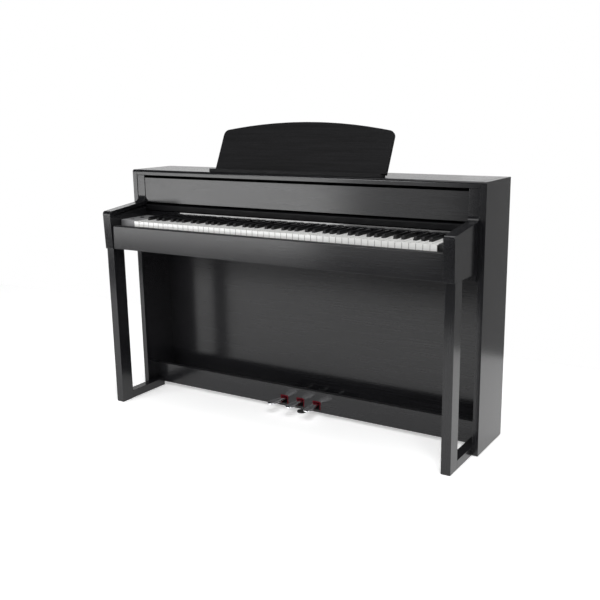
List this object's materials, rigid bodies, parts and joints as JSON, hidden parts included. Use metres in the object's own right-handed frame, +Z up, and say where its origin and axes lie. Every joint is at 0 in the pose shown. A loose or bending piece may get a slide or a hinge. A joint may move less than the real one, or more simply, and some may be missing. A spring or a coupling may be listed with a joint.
{
  "type": "digital piano on stand",
  "caption": "Console digital piano: black cabinet on two legs, weighted keyboard, sliding key cover, folding music desk and pedals in a low rail.",
  "frame": {"origin": "on the floor, at the middle of the cabinet's width and depth", "axes": "+X towards the treble end, +Y towards the wall behind the piano, +Z up; the player sits at -Y"},
  "size_m": [1.4384, 0.4172, 1.0669],
  "materials": {
    "cabinet": "satin black lacquer over a fine grain",
    "desk_board": "satin black lacquer over a fine grain",
    "board_back": "matt black",
    "gloss_trim": "gloss black",
    "glide_plastic": "black moulded plastic",
    "white_key": "white, slightly glossy",
    "black_key": "satin black",
    "pedal_chrome": "polished",
    "red_felt": "dark red felt",
    "zinc_steel": "zinc-plated",
    "black_steel": "black powder coat",
    "speaker_black": "black cone, rubber surround",
    "circuit_board": "green solder mask"
  },
  "bodies": {
    "cabinet": {"left_side_panel": "cabinet", "right_side_panel": "cabinet", "left_cheek": "cabinet", "right_cheek": "cabinet", "left_leg": "cabinet", "right_leg": "cabinet", "foot_runners": "cabinet", "arm_cleats": "cabinet", "floor_glides": "glide_plastic", "top_board": "cabinet", "fascia": "cabinet", "key_slip": "cabinet", "key_bed": "board_back", "knee_panel": "cabinet", "back_panel": "board_back", "fallboard": "gloss_trim", "left_key_block": "gloss_trim", "right_key_block": "gloss_trim", "desk_ledge": "desk_board", "desk_hinge_lugs": "zinc_steel", "action_frame": "zinc_steel", "pivot_rail": "zinc_steel", "key_felt": "red_felt", "pedal_rail": "cabinet", "pedal_felts": "red_felt", "pedal_box": "black_steel", "pedal_axle": "zinc_steel", "pedal_springs": "zinc_steel", "woofers": "speaker_black", "woofer_grilles": "black_steel", "tweeters": "speaker_black", "main_board": "circuit_board", "power_supply": "zinc_steel", "power_inlet": "glide_plastic", "socket_panel": "black_steel", "headphone_jacks": "glide_plastic", "fixings": "zinc_steel"},
    "c_keys": {"c_keys": "white_key"},
    "c_sharp_keys": {"c_sharp_keys": "black_key"},
    "d_keys": {"d_keys": "white_key"},
    "d_sharp_keys": {"d_sharp_keys": "black_key"},
    "e_keys": {"e_keys": "white_key"},
    "f_keys": {"f_keys": "white_key"},
    "f_sharp_keys": {"f_sharp_keys": "black_key"},
    "g_keys": {"g_keys": "white_key"},
    "g_sharp_keys": {"g_sharp_keys": "black_key"},
    "a_keys": {"a_keys": "white_key"},
    "a_sharp_keys": {"a_sharp_keys": "black_key"},
    "b_keys": {"b_keys": "white_key"},
    "key_cover": {"key_cover": "cabinet", "cover_lip": "cabinet"},
    "music_desk": {"music_desk": "desk_board", "desk_knuckles": "zinc_steel"},
    "desk_prop": {"desk_prop": "zinc_steel"},
    "left_pedal": {"left_pedal": "pedal_chrome"},
    "middle_pedal": {"middle_pedal": "pedal_chrome"},
    "right_pedal": {"right_pedal": "pedal_chrome"},
    "pedal_foot": {"pedal_foot": "glide_plastic"},
    "power_button": {"power_button": "gloss_trim"},
    "volume_slider": {"volume_slider": "gloss_trim"}
  },
  "joints": [
    {"name": "c_keys_press", "type": "hinge", "parent": "cabinet", "child": "c_keys", "pos_m": [0.0175, 0.0705, 0.6855], "axis": [1, 0, 0], "range_deg": [0, 2.4], "stiffness_Nm_per_rad": 28, "springref_deg": -5.16},
    {"name": "c_sharp_keys_press", "type": "hinge", "parent": "cabinet", "child": "c_sharp_keys", "pos_m": [0.0175, 0.0705, 0.6855], "axis": [1, 0, 0], "range_deg": [0, 2.9], "stiffness_Nm_per_rad": 28, "springref_deg": -5.16},
    {"name": "d_keys_press", "type": "hinge", "parent": "cabinet", "child": "d_keys", "pos_m": [0.0175, 0.0705, 0.6855], "axis": [1, 0, 0], "range_deg": [0, 2.4], "stiffness_Nm_per_rad": 28, "springref_deg": -5.16},
    {"name": "d_sharp_keys_press", "type": "hinge", "parent": "cabinet", "child": "d_sharp_keys", "pos_m": [0.0175, 0.0705, 0.6855], "axis": [1, 0, 0], "range_deg": [0, 2.9], "stiffness_Nm_per_rad": 28, "springref_deg": -5.16},
    {"name": "e_keys_press", "type": "hinge", "parent": "cabinet", "child": "e_keys", "pos_m": [0.0175, 0.0705, 0.6855], "axis": [1, 0, 0], "range_deg": [0, 2.4], "stiffness_Nm_per_rad": 28, "springref_deg": -5.16},
    {"name": "f_keys_press", "type": "hinge", "parent": "cabinet", "child": "f_keys", "pos_m": [0.0175, 0.0705, 0.6855], "axis": [1, 0, 0], "range_deg": [0, 2.4], "stiffness_Nm_per_rad": 28, "springref_deg": -5.16},
    {"name": "f_sharp_keys_press", "type": "hinge", "parent": "cabinet", "child": "f_sharp_keys", "pos_m": [0.0175, 0.0705, 0.6855], "axis": [1, 0, 0], "range_deg": [0, 2.9], "stiffness_Nm_per_rad": 28, "springref_deg": -5.16},
    {"name": "g_keys_press", "type": "hinge", "parent": "cabinet", "child": "g_keys", "pos_m": [0.0175, 0.0705, 0.6855], "axis": [1, 0, 0], "range_deg": [0, 2.4], "stiffness_Nm_per_rad": 28, "springref_deg": -5.16},
    {"name": "g_sharp_keys_press", "type": "hinge", "parent": "cabinet", "child": "g_sharp_keys", "pos_m": [0.0175, 0.0705, 0.6855], "axis": [1, 0, 0], "range_deg": [0, 2.9], "stiffness_Nm_per_rad": 28, "springref_deg": -5.16},
    {"name": "a_keys_press", "type": "hinge", "parent": "cabinet", "child": "a_keys", "pos_m": [0.0175, 0.0705, 0.6855], "axis": [1, 0, 0], "range_deg": [0, 2.4], "stiffness_Nm_per_rad": 28, "springref_deg": -5.16},
    {"name": "a_sharp_keys_press", "type": "hinge", "parent": "cabinet", "child": "a_sharp_keys", "pos_m": [0.0175, 0.0705, 0.6855], "axis": [1, 0, 0], "range_deg": [0, 2.9], "stiffness_Nm_per_rad": 28, "springref_deg": -5.16},
    {"name": "b_keys_press", "type": "hinge", "parent": "cabinet", "child": "b_keys", "pos_m": [0.0175, 0.0705, 0.6855], "axis": [1, 0, 0], "range_deg": [0, 2.4], "stiffness_Nm_per_rad": 28, "springref_deg": -5.16},
    {"name": "cover_slide", "type": "slide", "parent": "cabinet", "child": "key_cover", "axis": [0, -0.9932, -0.1167], "range_m": [0, 0.185]},
    {"name": "desk_fold", "type": "hinge", "parent": "cabinet", "child": "music_desk", "pos_m": [0.004, 0.0478, 0.894], "axis": [1, 0, 0], "range_deg": [-64.5, 0]},
    {"name": "prop_fold", "type": "hinge", "parent": "music_desk", "child": "desk_prop", "pos_m": [0.004, 0.08052, 0.9626], "axis": [1, 0, 0], "range_deg": [0, 129]},
    {"name": "left_pedal_press", "type": "hinge", "parent": "cabinet", "child": "left_pedal", "pos_m": [-0.071, 0.1315, 0.045], "axis": [1, 0, 0], "range_deg": [0, 5.5], "stiffness_Nm_per_rad": 30, "springref_deg": -6.88},
    {"name": "middle_pedal_press", "type": "hinge", "parent": "cabinet", "child": "middle_pedal", "pos_m": [0, 0.1315, 0.045], "axis": [1, 0, 0], "range_deg": [0, 5.5], "stiffness_Nm_per_rad": 30, "springref_deg": -6.88},
    {"name": "right_pedal_press", "type": "hinge", "parent": "cabinet", "child": "right_pedal", "pos_m": [0.071, 0.1315, 0.045], "axis": [1, 0, 0], "range_deg": [0, 5.5], "stiffness_Nm_per_rad": 30, "springref_deg": -6.88},
    {"name": "foot_screw", "type": "slide", "parent": "cabinet", "child": "pedal_foot", "axis": [0, 0, 1], "range_m": [0, 0.003]},
    {"name": "power_press", "type": "slide", "parent": "cabinet", "child": "power_button", "axis": [0, 0, -1], "range_m": [0, 0.0012], "stiffness_N_per_m": 800, "springref_m": -0.001},
    {"name": "volume_slide", "type": "slide", "parent": "cabinet", "child": "volume_slider", "axis": [0, 1, 0], "range_m": [-0.02, 0.02]}
  ],
  "couplings": [
    {"joint": "prop_fold", "follows": "desk_fold", "ratio": -2}
  ]
}
